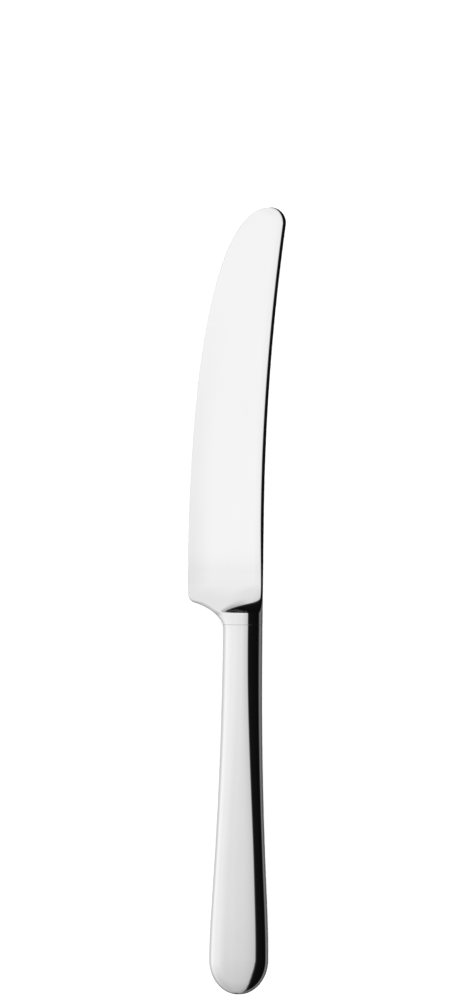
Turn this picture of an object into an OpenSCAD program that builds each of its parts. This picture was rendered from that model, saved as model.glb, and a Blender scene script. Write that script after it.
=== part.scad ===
// Dessert knife with a hollow handle.
// One forging makes the blade, the bolster and the tang. The tang is set in cement
// inside two pressed half-shells, which are brazed along their seam and at the bolster.
// Sizes are in millimetres. The knife lies on its side: the point faces +Y, the cutting
// edge faces -X and +Z is up. The origin is the middle of the footprint, at the height
// of the surface that the knife lies on.

/* [Blade] */
// From the joint line at the bolster to the point
blade_length = 111.1; // [96:0.1:126]
// From the handle's axis to the cutting edge at its deepest
edge_drop = 14.8; // [13:0.05:17]
// Length of straight back before it sweeps away from the edge
spine_straight = 28.8; // [20:0.2:45]
// Radius of the sweep of the back toward the point
spine_sweep_r = 620; // [450:10:1200]
// Radius of the corner between the back and the point
tip_corner_r = 4.1; // [3:0.1:5]
// Radius of the nose, from the point down to the belly
nose_r = 8.1; // [7:0.1:9.5]
// Slope of the outline where the nose runs into the belly, in degrees
nose_angle = 37; // [33:1:42]
// Where the belly starts to curve, measured from the joint line
belly_start = 14.2; // [12:0.1:18]
// How long the belly keeps the direction of the straight edge
belly_run = 59; // [50:1:64]
// How long the belly keeps the direction of the nose
belly_rise = 11.5; // [9:0.1:14]
// Thickness at the back, beside the bolster
spine_thickness = 2.2; // [1.9:0.1:2.8]
// Thickness at the cutting edge, beside the heel
edge_thickness = 0.7; // [0.6:0.05:1]
// Thickness that the blade loses on its way to the point
distal_taper = 0.7; // [0.2:0.05:0.8]
// Radius of the two rolled corners along the back
back_round = 1.6; // [1.2:0.05:1.7]
// How steep those corners are where they meet the flat of the back, in degrees
back_slope = 50; // [40:1:60]
// Width of the rounding along the cutting edge and the nose
edge_round = 0.25; // [0.15:0.05:0.3]

/* [Heel] */
// Height of the heel corner above the joint line
heel_height = 5.5; // [5.2:0.1:6.6]
// Radius of the heel corner
heel_r = 2.6; // [1.8:0.1:3]
// Slope of the notch between bolster and heel, at the heel, in degrees
choil_angle = 14.6; // [10:0.2:20]
// How long the notch keeps the direction that it has at the heel
choil_run = 3.5; // [2.8:0.1:4.5]
// How far the notch's curve runs down onto the handle
choil_reach = 1.3; // [0.9:0.1:2]
// How long the notch keeps the direction of the handle
choil_rise = 3.3; // [2.6:0.1:4]
// Width of the rounding along the rim of the notch
heel_round = 1.1; // [0.8:0.1:1.6]

/* [Bolster] */
// From the joint line to the crisp shoulder above it
bolster_length = 3.1; // [2.7:0.1:3.8]
// Length of the hollow that falls from the shoulder to the blade, on the handle's axis
hollow_run = 9; // [8:0.1:10]
// How much longer the hollow gets for each millimetre toward the back
hollow_slant = 1.25; // [1:0.05:1.5]
// How steeply the hollow falls beside the shoulder
hollow_fall = 5.2; // [4.6:0.1:6]
// Where the blade's sides begin to swell toward the bolster
swell_start = 13.8; // [12:0.2:16]
// Radius of that swelling
swell_r = 62; // [50:1:80]

/* [Handle] */
// From the joint line to the end of the handle
handle_length = 98.7; // [85:0.1:112]
// Width at the neck
neck_width = 10.5; // [9.8:0.1:11.6]
// Width near the end
butt_width = 15.8; // [13.5:0.1:18]
// Thickness at the neck
neck_thickness = 8.2; // [7.6:0.1:9]
// Thickness near the end
butt_thickness = 8.8; // [7.8:0.1:10.2]
// Length of the rounded end
butt_round = 9.3; // [7.5:0.1:12]
// How long the sides keep the width of the neck
waist_run = 52; // [42:1:58]
// How long the sides keep the width of the end
flare_run = 15; // [10:1:20]
// Squareness of the section at the neck, where 2 is an ellipse
neck_squareness = 1.95; // [1.9:0.05:2.4]
// Squareness of the section near the end
butt_squareness = 2.9; // [2.5:0.05:3.4]
// How far from the joint the section has become as square as near the end
square_run = 66; // [56:1:76]
// Wall of the pressed shells
wall = 1; // [0.7:0.05:1.3]

/* [Tang] */
// Length of the tang inside the handle
tang_length = 46; // [30:1:60]
// Width of the tang beside the bolster
tang_width = 5; // [4:0.1:6]
// Thickness of the tang beside the bolster
tang_thickness = 3; // [2.4:0.1:4]
// Share of those sizes left at the tang's end
tang_taper = 0.68; // [0.5:0.02:0.9]
// Depth of the notches that key the tang into the cement
notch_depth = 0.5; // [0.2:0.05:0.7]

/* [Joints] */
// Thickness of the braze between the half-shells
seam_gap = 0.12; // [0.06:0.02:0.2]
// Thickness of the braze between bolster and handle
neck_gap = 0.2; // [0.1:0.02:0.4]
// How far the braze stays below the polished surface
braze_recess = 0.05; // [0.02:0.01:0.1]

/* [Hidden] */

neck_half = neck_width / 2;
butt_half = butt_width / 2;
neck_rise = neck_thickness / 2;
butt_rise = butt_thickness / 2;
shaft = handle_length - butt_round;
seam_half = seam_gap / 2;

// Steps over half a section, which every node shares so that mating faces coincide
steps = 18;
last = steps * 2 - 1;

// Blade outline: corner of the point, nose, belly, heel and notch
tip_y = blade_length - tip_corner_r;
tip_reach = sqrt(pow(spine_sweep_r + tip_corner_r, 2) - pow(tip_y - spine_straight, 2));
tip_x = neck_half + spine_sweep_r - tip_reach;
tip_c = [tip_x, tip_y];
sweep_end = spine_straight + spine_sweep_r * (tip_y - spine_straight) / (spine_sweep_r + tip_corner_r);
nose_c = [tip_x, blade_length - nose_r];
nose_p = nose_c + nose_r * [-sin(nose_angle), cos(nose_angle)];
belly = [
    [-edge_drop, belly_start],
    [-edge_drop, belly_start + belly_run],
    nose_p - belly_rise * [cos(nose_angle), sin(nose_angle)],
    nose_p
];
heel_c = [heel_r - edge_drop, heel_height + heel_r * cos(choil_angle)];
heel_p = heel_c - heel_r * [sin(choil_angle), cos(choil_angle)];
choil = [
    [-neck_half, -choil_reach],
    [-neck_half, choil_rise - choil_reach],
    heel_p + choil_run * [cos(choil_angle), -sin(choil_angle)],
    heel_p
];

// Footprint and rest height, which place the knife in its frame
x_max = max(tip_x + tip_corner_r, butt_half);
frame_shift = [(edge_drop - x_max) / 2, (handle_length - blade_length) / 2, max(neck_rise, butt_rise)];

// Wedge of the blade: half its thickness falls evenly across the blade and toward the point
wedge_across = (spine_thickness - edge_thickness) / 2 / (edge_drop + neck_half);
wedge_along = distal_taper / 2 / blade_length;

// How firmly the collar keeps the neck's section before it stretches to the notch
collar_hold = 4;
// Least length of the hollow, beside the notch, and where it stops getting longer toward the back
hollow_least = 1;
hollow_ease = 4;
// Shares of the back's corner radius left beside the bolster and taken away at the point
back_start = 0.5;
back_fade = 0.8;

function mix(a, b, t) = a + (b - a) * t;
function smooth(t) = t * t * (3 - 2 * t);
function share(t) = max(0, min(1, t));

// Cubic curve through its first and last point
function curve(p, t) =
    p[0] * pow(1 - t, 3) + p[1] * 3 * t * pow(1 - t, 2) + p[2] * 3 * t * t * (1 - t) + p[3] * pow(t, 3);
// Where a rising curve reaches height y
function curve_at(p, y, lo = 0, hi = 1, n = 26) =
    n == 0 ? (lo + hi) / 2 :
    let (mid = (lo + hi) / 2)
    curve(p, mid).y < y ? curve_at(p, y, mid, hi, n - 1) : curve_at(p, y, lo, mid, n - 1);
function curve_x(p, y) = curve(p, curve_at(p, y)).x;
function arc_reach(r, d) = sqrt(max(0, r * r - d * d));

// Edge side and back of the blade at height y
function edge_x(y) =
    y < heel_p.y ? curve_x(choil, y) :
    y < heel_c.y ? heel_c.x - arc_reach(heel_r, y - heel_c.y) :
    y < belly_start ? -edge_drop :
    y < nose_p.y ? curve_x(belly, y) :
    nose_c.x - arc_reach(nose_r, y - nose_c.y);
function back_x(y) =
    y < spine_straight ? neck_half :
    y < sweep_end ? neck_half + spine_sweep_r - arc_reach(spine_sweep_r, y - spine_straight) :
    tip_c.x + arc_reach(tip_corner_r, y - tip_c.y);

// Two chains of points: from the neck up the back to the point, and from there down the edge
back_line = concat(
    [[neck_half, -choil_reach], [neck_half, 0], [neck_half, spine_straight / 2]],
    [for (k = [0 : 12]) let (y = mix(spine_straight, sweep_end, k / 12)) [back_x(y), y]],
    [for (a = [0 : 10 : 90]) tip_c + tip_corner_r * [cos(a), sin(a)]]
);
edge_line = concat(
    [for (k = [0 : 10]) let (a = nose_angle * k / 10) nose_c + nose_r * [-sin(a), cos(a)]],
    [for (k = [1 : 20]) curve(belly, 1 - k / 20)],
    [for (k = [0 : 6]) let (a = (90 - choil_angle) * k / 6) heel_c - heel_r * [cos(a), sin(a)]],
    [for (k = [0 : 16]) curve(choil, 1 - k / 16)]
);

// Distance from a point to a chain
function to_piece(p, a, b) =
    let (v = b - a, t = max(0, min(1, (p - a) * v / (v * v)))) norm(p - a - v * t);
function to_chain(p, chain) = min([for (i = [0 : len(chain) - 2]) to_piece(p, chain[i], chain[i + 1])]);

// A section that is rounder or squarer than an ellipse
function arch(rise, reach, x, n) = rise * pow(max(0, 1 - pow(min(1, abs(x) / reach), n)), 1 / n);
// Height of a face whose corner is rolled over with radius r, at distance d from its rim
function rolled(h, r, d) = h - r + arc_reach(r, max(0, r - d));
// Height of a face that falls all the way down to its rim, over a run
function rounded(h, run, d) = h * arc_reach(1, max(0, 1 - d / run));

// Half the thickness of the blade's flat sides, and with their swelling at the bolster
function flank(x, y) = spine_thickness / 2 + wedge_across * (x - neck_half) - wedge_along * y;
function plate(x, y) = flank(x, y) + pow(max(0, swell_start - y), 2) / 2 / swell_r;
// Length of the hollow beside the handle's axis, and the share of the collar left above the shoulder
function hollow_length(x) =
    max(hollow_least, hollow_run + hollow_slant * x / sqrt(1 + pow(max(0, x) / hollow_ease, 2)));
function hollow(x, y) = pow(max(0, 1 - (y - bolster_length) / hollow_length(x)), hollow_fall);
// Radius of the back's corners, which are rolled less beside the bolster and at the point
function back_radius(h, y) =
    let (
        start = mix(back_start, 1, smooth(share(y / spine_straight))),
        fade = 1 - back_fade * pow(share((y - tip_y) / tip_corner_r), 2)
    )
    min(1.7 * h, back_round * start * fade);
// Width of the rounding along the edge side, wide at the notch and narrow from the heel on
function edge_run(h, y) =
    mix(min(h, heel_round), edge_round, smooth(share((y - heel_p.y) / (heel_c.y - heel_p.y))));
// Where a point of the collar lies on the neck's own section, which only stretches at its far edge
function on_neck(x, wide) =
    let (w = wide / neck_half, f = min(1, abs(x) / wide))
    neck_half * f * w / pow(1 + pow(f, collar_hold) * (pow(w, collar_hold) - 1), 1 / collar_hold);
// Half the thickness of the forging at a point
function forging(x, y) =
    let (
        place = on_neck(x, x > 0 ? neck_half : -edge_x(y)),
        collar = arch(neck_rise, neck_half, place, neck_squareness)
    )
    y <= bolster_length ? collar :
    let (
        h = plate(x, y),
        r = back_radius(h, y),
        at_edge = rounded(h, edge_run(h, y), to_chain([x, y], edge_line)),
        at_back = rolled(h, r, to_chain([x, y], back_line) + r * (1 - sin(back_slope)))
    )
    mix(min(at_edge, at_back), collar, hollow(x, y));

// Points across the blade at height y, closer together over the rounded edges and even at the bolster
even_run = 5;
function spread(y) =
    let (
        l = edge_x(y),
        r = back_x(y),
        e = 0.05,
        lean = min(6, abs(edge_x(min(y + e, blade_length)) - edge_x(y - e)) / 2 / e),
        part = smooth(share(1 - (y - bolster_length) / even_run)),
        edge_zone = 1.3 * plate(l, y) * sqrt(1 + lean * lean),
        zone_r = mix(min(1.5 * plate(r, y), 0.3 * (r - l)), 0.5 * (r - l), part),
        zone_l = mix(min(edge_zone, 0.3 * (r - l)), 0.5 * (r - l), part),
        k = steps / 3
    )
    [for (i = [1 : steps - 1])
        i <= k ? r - zone_r * (1 - cos(90 * i / k)) :
        i < 2 * k ? mix(r - zone_r, l + zone_l, smooth((i - k) / k) * 0.4 + (i - k) / k * 0.6) :
        l + zone_l * (1 - cos(90 * (steps - i) / k))];

// A closed section: over the top from the back to the edge, and home underneath
function forging_ring(y) =
    let (xs = spread(y), zs = [for (x = xs) forging(x, y)])
    concat(
        [[back_x(y), y, 0]],
        [for (i = [0 : steps - 2]) [xs[i], y, zs[i]]],
        [[edge_x(y), y, 0]],
        [for (i = [steps - 2 : -1 : 0]) [xs[i], y, -zs[i]]]
    );

// Heights of the forging's sections, closer together where its outline or thickness turns
forging_heights = concat(
    [for (k = [0 : 3]) bolster_length * k / 3],
    [for (k = [1 : 9]) mix(bolster_length + 0.02, heel_p.y, pow(k / 9, 1.2))],
    [for (a = [16 : 16 : 64]) heel_c.y - heel_r * cos(choil_angle) * (1 - sin(a))],
    [heel_c.y, mix(heel_c.y, belly_start, 0.3), mix(heel_c.y, belly_start, 0.65)],
    [for (k = [0 : 21]) mix(belly_start, sweep_end - 1, 1 - pow(1 - k / 22, 1.25))],
    [for (k = [0 : 12]) blade_length - (blade_length - sweep_end + 1) * pow(1 - k / 13, 2)]
);

// The tang's section at depth d below the joint line
function power(c, n) = sign(c) * pow(abs(c), 2 / n);
function tang_ring(d, notch = 0) =
    let (size = mix(1, tang_taper, d / tang_length))
    [for (i = [0 : last])
        let (a = 180 * i / steps, half = tang_width * size / 2 - notch, rise = tang_thickness * size / 2)
        [half * power(cos(a), 6), -d, rise * power(sin(a), 6)]];
tang_rings = [
    tang_ring(tang_length),
    tang_ring(tang_length * 0.98),
    tang_ring(tang_length * 0.8),
    tang_ring(tang_length * 0.79, notch_depth),
    tang_ring(tang_length * 0.72, notch_depth),
    tang_ring(tang_length * 0.71),
    tang_ring(tang_length * 0.5),
    tang_ring(tang_length * 0.49, notch_depth),
    tang_ring(tang_length * 0.42, notch_depth),
    tang_ring(tang_length * 0.41),
    tang_ring(0)
];

// Handle sizes at depth d below the joint line: edge side, back side, rise and squareness
side_curve = [[neck_half, 0], [neck_half, waist_run], [butt_half, shaft - flare_run], [butt_half, shaft]];
function handle_at(d) =
    let (
        t = curve_at(side_curve, min(d, shaft)),
        half = curve(side_curve, t).x,
        rise = mix(neck_rise, butt_rise, (half - neck_half) / (butt_half - neck_half)),
        squared = smooth(pow(min(1, d / square_run), 1.25)),
        notch = d < choil_reach ? -curve_x(choil, -d) : 0
    )
    [max(half, notch), half, rise, mix(neck_squareness, butt_squareness, squared)];

// Half a section of the handle, inset from its outside, over the top from back to edge side
function handle_arch(d, inset, shrink = 1, depth = undef) =
    let (s = handle_at(d), y = -(depth == undef ? d : depth))
    [for (i = [0 : steps])
        let (a = 180 * i / steps, c = power(cos(a), s[3]), side = (c < 0 ? s[0] : s[1]) - inset)
        [side * shrink * c, y, seam_half + (s[2] - inset - seam_half) * shrink * power(sin(a), s[3])]];

// Sections from the end of the handle up to the joint with the bolster
butt_angles = [84, 76, 66, 56, 46, 36, 26, 16, 8];
shaft_depths = concat(
    [for (k = [0 : 11]) mix(shaft, choil_reach, k / 11)],
    [choil_reach * 0.6, choil_reach * 0.3, neck_gap]
);
function handle_half(inset) = concat(
    [for (a = butt_angles) handle_arch(shaft, inset, cos(a), shaft + (butt_round - inset) * sin(a))],
    [for (d = shaft_depths) handle_arch(d, inset)]
);
outer_half = handle_half(0);
inner_half = handle_half(wall);
outer_end = [0, -handle_length, seam_half];
inner_end = [0, wall - handle_length, seam_half];
rows = len(outer_half);

// A closed ring from half a section
function full_ring(half) = concat(
    [[half[0].x, half[0].y, 0]],
    [for (i = [1 : steps - 1]) half[i]],
    [[half[steps].x, half[steps].y, 0]],
    [for (i = [steps - 1 : -1 : 1]) [half[i].x, half[i].y, -half[i].z]]
);

// A skin over a row of rings, closed by a point at each end, or joined into a loop
module skin(rings, first = undef, final = undef) {
    m = len(rings[0]);
    n = len(rings);
    loop = first == undef;
    ends = loop ? [] : [first, final];
    points = concat([for (r = rings) for (p = r) p], ends);
    sides = [for (i = [0 : n - (loop ? 1 : 2)]) for (j = [0 : m - 1])
        let (a = i * m, b = ((i + 1) % n) * m, k = (j + 1) % m)
        each [[a + j, a + k, b + k], [a + j, b + k, b + j]]];
    caps = loop ? [] : [for (j = [0 : m - 1])
        let (k = (j + 1) % m)
        each [[n * m, k, j], [n * m + 1, (n - 1) * m + j, (n - 1) * m + k]]];
    polyhedron(points = points, faces = concat(sides, caps), convexity = 6);
}

// Moves a piece from the knife's own axes, which meet at the joint, into its frame
module placed() {
    translate(frame_shift) children();
}

// The outer and inner faces of a half-shell, joined along the seam and at the neck
module half_shell() {
    m = steps + 1;
    inner = rows * m;
    tip = 2 * rows * m;
    points = concat(
        [for (r = outer_half) for (p = r) p],
        [for (r = inner_half) for (p = r) p],
        [outer_end, inner_end]
    );
    faces = [for (i = [0 : rows - 2]) for (j = [0 : steps - 1])
        let (a = i * m + j, b = a + m, c = inner + a, d = inner + b)
        each [[a, a + 1, b + 1], [a, b + 1, b], [c, d + 1, c + 1], [c, d, d + 1]]];
    butt = [for (j = [0 : steps - 1])
        each [[tip, j + 1, j], [tip + 1, inner + j, inner + j + 1]]];
    neck = [for (j = [0 : steps - 1])
        let (a = (rows - 1) * m + j, c = inner + a)
        each [[a, a + 1, c + 1], [a, c + 1, c]]];
    rim = [for (i = [0 : rows - 2])
        let (a = i * m, b = a + m, c = inner + a, d = inner + b)
        each [
            [a, b, d],
            [a, d, c],
            [c + steps, d + steps, b + steps],
            [c + steps, b + steps, a + steps]
        ]];
    rim_end = [
        [tip, 0, inner],
        [tip, inner, tip + 1],
        [tip + 1, inner + steps, steps],
        [tip + 1, steps, tip]
    ];
    polyhedron(points = points, faces = concat(faces, butt, neck, rim, rim_end), convexity = 6);
}

module blade() {
    rings = concat(tang_rings, [for (y = forging_heights) forging_ring(y)]);
    color("gainsboro") placed()
        skin(rings, [0, -tang_length, 0], [nose_c.x, blade_length, 0]);
}

module handle_shell_front() {
    color("silver") placed() half_shell();
}

module handle_shell_back() {
    color("silver") placed() mirror([0, 0, 1]) half_shell();
}

module handle_filler() {
    mouth = [for (p = inner_half[rows - 1]) [p.x, 0, p.z]];
    rings = concat(
        [for (h = inner_half) full_ring(h)],
        [full_ring(mouth)],
        [for (i = [len(tang_rings) - 1 : -1 : 0]) tang_rings[i]]
    );
    color("tan") placed()
        skin(rings, [0, wall - handle_length, 0], [0, -tang_length, 0]);
}

module seam_braze() {
    recess = [for (h = handle_half(braze_recess)) h];
    outside = concat(
        [for (i = [rows - 1 : -1 : 0]) [recess[i][0].x, recess[i][0].y]],
        [[0, braze_recess - handle_length]],
        [for (h = recess) [h[steps].x, h[steps].y]]
    );
    inside = concat(
        [for (i = [rows - 1 : -1 : 0]) [inner_half[i][steps].x, inner_half[i][steps].y]],
        [[0, wall - handle_length]],
        [for (h = inner_half) [h[0].x, h[0].y]]
    );
    color("goldenrod") placed()
        translate([0, 0, -seam_half])
            linear_extrude(height = seam_gap)
                polygon(concat(outside, inside));
}

module neck_braze() {
    out = full_ring(handle_arch(neck_gap, braze_recess));
    hole = full_ring(inner_half[rows - 1]);
    color("goldenrod") placed()
        skin([
            out,
            [for (p = out) [p.x, 0, p.z]],
            [for (p = hole) [p.x, 0, p.z]],
            hole
        ]);
}

blade();
handle_shell_front();
handle_shell_back();
handle_filler();
seam_braze();
neck_braze();
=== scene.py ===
# %% [markdown]
# A dessert knife with a hollow handle
#
# The knife is six pieces: one forging that is blade, bolster and tang at once, two pressed
# half-shells that make the handle, a cement core inside them, and two thin runs of braze
# that close the joints. The solids of those pieces are already packed, so this lesson only
# gives them their finished surfaces, their metals and a studio to be seen in.
#
# Nearly all of what the eye meets on polished steel is a reflection. Two things therefore
# matter most here: surfaces that are smooth enough to mirror well, and a studio that is
# worth mirroring.

import math

import bpy
import numpy as np
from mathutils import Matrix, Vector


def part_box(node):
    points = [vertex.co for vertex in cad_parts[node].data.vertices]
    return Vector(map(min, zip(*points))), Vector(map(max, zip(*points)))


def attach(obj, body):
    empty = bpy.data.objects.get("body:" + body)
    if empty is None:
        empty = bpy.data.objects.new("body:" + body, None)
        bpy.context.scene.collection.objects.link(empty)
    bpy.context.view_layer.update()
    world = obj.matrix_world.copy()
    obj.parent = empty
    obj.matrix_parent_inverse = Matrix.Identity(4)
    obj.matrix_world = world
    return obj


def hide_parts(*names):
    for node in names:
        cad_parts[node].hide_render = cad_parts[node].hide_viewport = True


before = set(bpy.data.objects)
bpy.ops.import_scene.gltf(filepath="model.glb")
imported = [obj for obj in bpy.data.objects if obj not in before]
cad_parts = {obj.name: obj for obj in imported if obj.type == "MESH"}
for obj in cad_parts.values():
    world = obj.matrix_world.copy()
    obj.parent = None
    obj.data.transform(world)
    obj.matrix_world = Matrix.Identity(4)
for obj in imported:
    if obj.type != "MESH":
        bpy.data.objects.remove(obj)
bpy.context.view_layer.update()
print("solids:", sorted(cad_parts))

# %% [markdown]
# The sizes of the knife
#
# A designer keeps the few sizes that drive a shape in one place. They are in millimetres,
# on the knife's own axes: the middle of the joint between bolster and handle is zero, the
# point is toward +Y, the back is toward +X, and the knife is the same above and below
# Z = 0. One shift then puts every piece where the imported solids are.

# %% Sizes, in millimetres
MM = 0.001

# Blade
BLADE_LENGTH = 111.1
EDGE_DROP = 14.8
SPINE_STRAIGHT = 28.8
SPINE_SWEEP_R = 620.0
TIP_CORNER_R = 4.1
NOSE_R = 8.1
NOSE_ANGLE = math.radians(37.0)
BELLY_START = 14.2
BELLY_RUN = 59.0
BELLY_RISE = 11.5
SPINE_THICKNESS = 2.2
EDGE_THICKNESS = 0.7
DISTAL_TAPER = 0.7
BACK_ROUND = 1.6
BACK_SLOPE = math.radians(50.0)
BACK_START = 0.5
BACK_FADE = 0.8
EDGE_ROUND = 0.12

# Heel and notch
HEEL_HEIGHT = 5.5
HEEL_R = 2.6
NOTCH_ANGLE = math.radians(14.6)
NOTCH_RUN = 3.5
NOTCH_REACH = 1.3
NOTCH_RISE = 3.3
HEEL_ROUND = 1.1

# Bolster, with the hollow above its collar
BOLSTER_LENGTH = 3.1
COLLAR_HOLD = 4.0
HOLLOW_RUN = 9.0
HOLLOW_SLANT = 1.25
HOLLOW_LEAST = 1.0
HOLLOW_EASE = 4.0
HOLLOW_FALL = 5.2
SWELL_START = 13.8
SWELL_R = 62.0
SHOULDER_SOFT = 0.16
NOTCH_SOFT = 2.0
NOTCH_SOFT_RUN = 1.3

# Handle
HANDLE_LENGTH = 98.7
NECK_HALF = 10.5 / 2
BUTT_HALF = 15.8 / 2
NECK_RISE = 8.2 / 2
BUTT_RISE = 8.8 / 2
BUTT_ROUND = 9.3
WAIST_RUN = 52.0
FLARE_RUN = 15.0
NECK_SQUARENESS = 1.95
BUTT_SQUARENESS = 2.9
SQUARE_RUN = 66.0
WALL = 1.0
SHAFT = HANDLE_LENGTH - BUTT_ROUND

# Tang, inside the handle
TANG_LENGTH = 46.0
TANG_WIDTH = 5.0
TANG_THICKNESS = 3.0
TANG_TAPER = 0.68
TANG_NOTCH = 0.5

# Braze
SEAM_HALF = 0.12 / 2
NECK_GAP = 0.2
BRAZE_RECESS = 0.03

# Middle of the point's corner, and the own axes' place in the frame
TIP_Y = BLADE_LENGTH - TIP_CORNER_R
TIP_X = NECK_HALF + SPINE_SWEEP_R - math.sqrt(
    (SPINE_SWEEP_R + TIP_CORNER_R) ** 2 - (TIP_Y - SPINE_STRAIGHT) ** 2)
SHIFT = np.array([
    (EDGE_DROP - TIP_X - TIP_CORNER_R) / 2,
    (HANDLE_LENGTH - BLADE_LENGTH) / 2,
    BUTT_RISE])
print("own axes sit at", np.round(SHIFT, 3), "mm in the frame")

# %% [markdown]
# A helper that wires nodes from expressions
#
# Both the shader of a metal and the rule of a shape are arithmetic. Linking Math nodes by
# hand hides that arithmetic, so a small class wraps an output socket and lets Python's own
# operators add the nodes. Every other kind of node comes from its one method `node`, which
# takes the type, then the settings, then the sockets.

# %% Sockets that can be calculated with
class Wire:
    """An output socket that adds a Math node for each operator used on it."""

    def __init__(self, tree, socket=None):
        self.tree, self.socket = tree, socket

    def node(self, kind, settings=None, sockets=None, output=0):
        made = self.tree.nodes.new(kind)
        for name, value in (settings or {}).items():
            if name == "stops":
                self.set_stops(made.color_ramp, value)
            else:
                setattr(made, name, value)
        for key, value in (sockets or {}).items():
            if isinstance(value, Wire):
                self.tree.links.new(value.socket, made.inputs[key])
            else:
                made.inputs[key].default_value = value
        return Wire(self.tree, made.outputs[output])

    @staticmethod
    def set_stops(ramp, stops):
        while len(ramp.elements) < len(stops):
            ramp.elements.new(1.0)
        for element, (place, value) in zip(ramp.elements, stops):
            element.position = place
            element.color = (value, value, value, 1.0)

    def math(self, operation, *values):
        return self.node("ShaderNodeMath", {"operation": operation}, dict(enumerate(values)))

    def __add__(self, other):
        return self.math("ADD", self, other)

    def __radd__(self, other):
        return self.math("ADD", other, self)

    def __sub__(self, other):
        return self.math("SUBTRACT", self, other)

    def __rsub__(self, other):
        return self.math("SUBTRACT", other, self)

    def __mul__(self, other):
        return self.math("MULTIPLY", self, other)

    def __rmul__(self, other):
        return self.math("MULTIPLY", other, self)

    def __truediv__(self, other):
        return self.math("DIVIDE", self, other)

    def __rtruediv__(self, other):
        return self.math("DIVIDE", other, self)

    def __pow__(self, other):
        return self.math("POWER", self, other)

    def __lt__(self, other):
        return self.math("LESS_THAN", self, other)

    def __gt__(self, other):
        return self.math("GREATER_THAN", self, other)

    def __abs__(self):
        return self.math("ABSOLUTE", self)

    def at_least(self, other):
        return self.math("MAXIMUM", self, other)

    def at_most(self, other):
        return self.math("MINIMUM", self, other)

    def clipped(self):
        return self.at_least(0.0).at_most(1.0)

    def cos(self):
        return self.math("COSINE", self)

    def sin(self):
        return self.math("SINE", self)

    def floor(self):
        return self.math("FLOOR", self)


# %% [markdown]
# Metals and cement
#
# Both steels are mirror polished: metallic, with a low roughness. A mirror still has a
# history. The buffing wheel ran along the knife and left lines far finer than a hair, and
# use adds faint patches where the polish is a little duller. Noise that is stretched along
# the knife gives the lines, and soft noise gives the patches. Both only touch roughness,
# tint and a very shallow bump, because anything stronger would break up the reflections.
# Object coordinates are used, so the pattern has real size and stays put.
#
# Two more traces belong to places on the blade, not to the metal as such. The ground edge and the
# swelling by the bolster take a darker tint, partly a duller polish and partly painted shade. The flats
# carry fine scratches that scatter a little light, so they look less like glass. The shader reads both
# from the mesh, as attributes on its points. They are written once the blade exists. A piece without
# them has neither.

# %% A material to start from
def new_material(name):
    material = bpy.data.materials.new(name)
    material.use_nodes = True
    tree = material.node_tree
    shader = next(n for n in tree.nodes if n.type == "BSDF_PRINCIPLED")
    start = Wire(tree)
    place = start.node("ShaderNodeTexCoord", output="Object")
    return material, shader, start, place


def stretched_noise(start, place, scale, detail=3.0, roughness=0.55):
    """Noise with its own number of cells per metre along X, Y and Z."""
    spot = start.node("ShaderNodeVectorMath", {"operation": "MULTIPLY"}, {0: place, 1: scale})
    return start.node("ShaderNodeTexNoise", {"noise_dimensions": "3D"},
                      {"Vector": spot, "Scale": 1.0, "Detail": detail, "Roughness": roughness}, "Fac")


def tint(start, share, dark, bright):
    """A colour between two others, for Base Color."""
    return start.node("ShaderNodeMix", {"data_type": "RGBA"},
                      {0: share, 6: (*dark, 1.0), 7: (*bright, 1.0)}, 2)


def bump(start, height, strength, depth):
    """A normal that a pattern tilts, with the pattern's depth in millimetres."""
    return start.node("ShaderNodeBump", None,
                      {"Strength": strength, "Distance": depth * MM, "Height": height}, "Normal")


def join(wire, shader, socket):
    wire.tree.links.new(wire.socket, shader.inputs[socket])


print("helpers ready: noise, tint and bump")

# %% Polished steel, for the blade and for the handle
# Cells per metre of the worn patches, and what counts as wear
PATCH_SCALE = (55.0, 40.0, 55.0)
WEAR_START = 0.45
# Darkest and brightest tint as shares of the tone, and where between them the patches lie
TINT_DARK, TINT_BRIGHT = 0.85, 1.02
TINT_MIDDLE, TINT_PATCHES = 0.88, 0.27
# What wear and lines add to the roughness, and how strongly the lines show as a bump
WEAR_ROUGHNESS, LINE_ROUGHNESS = 0.03, 0.02
LINE_BUMP = 0.12
# How much of the mirror the scratches take, and how far the lines break them up
SCRATCHES = 0.08
SCRATCH_EVEN, SCRATCH_LINED = 0.4, 1.2


def polished_steel(name, tone, roughness, line_scale, line_depth):
    material, shader, start, place = new_material(name)
    lines = stretched_noise(start, place, line_scale)
    patches = stretched_noise(start, place, PATCH_SCALE)
    dull = start.node("ShaderNodeAttribute", {"attribute_name": "dull"}, output="Fac")
    scratched = start.node("ShaderNodeAttribute", {"attribute_name": "scratched"}, output="Fac")
    dark, bright = (TINT_DARK * tone,) * 3, (TINT_BRIGHT * tone,) * 3
    # The blade's stored darkening lowers the tint along the ground edge and by the bolster: partly a
    # duller polish, partly painted shade.
    share = TINT_MIDDLE + TINT_PATCHES * (patches - 0.5) - dull
    wear = (patches - WEAR_START).at_least(0.0)
    scratches = SCRATCHES * scratched * (SCRATCH_EVEN + SCRATCH_LINED * lines)
    join(tint(start, share, dark, bright), shader, "Base Color")
    join(roughness + WEAR_ROUGHNESS * wear + LINE_ROUGHNESS * (lines - 0.5), shader, "Roughness")
    join(1.0 - scratches, shader, "Metallic")
    join(bump(start, lines, LINE_BUMP, line_depth), shader, "Normal")
    return material


blade_steel = polished_steel(
    "blade_steel", tone=0.646, roughness=0.045, line_scale=(2600.0, 45.0, 2600.0), line_depth=0.004)
handle_steel = polished_steel(
    "handle_steel", tone=0.66, roughness=0.04, line_scale=(2200.0, 30.0, 2200.0), line_depth=0.003)
print("steels:", blade_steel.name, handle_steel.name)

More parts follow.
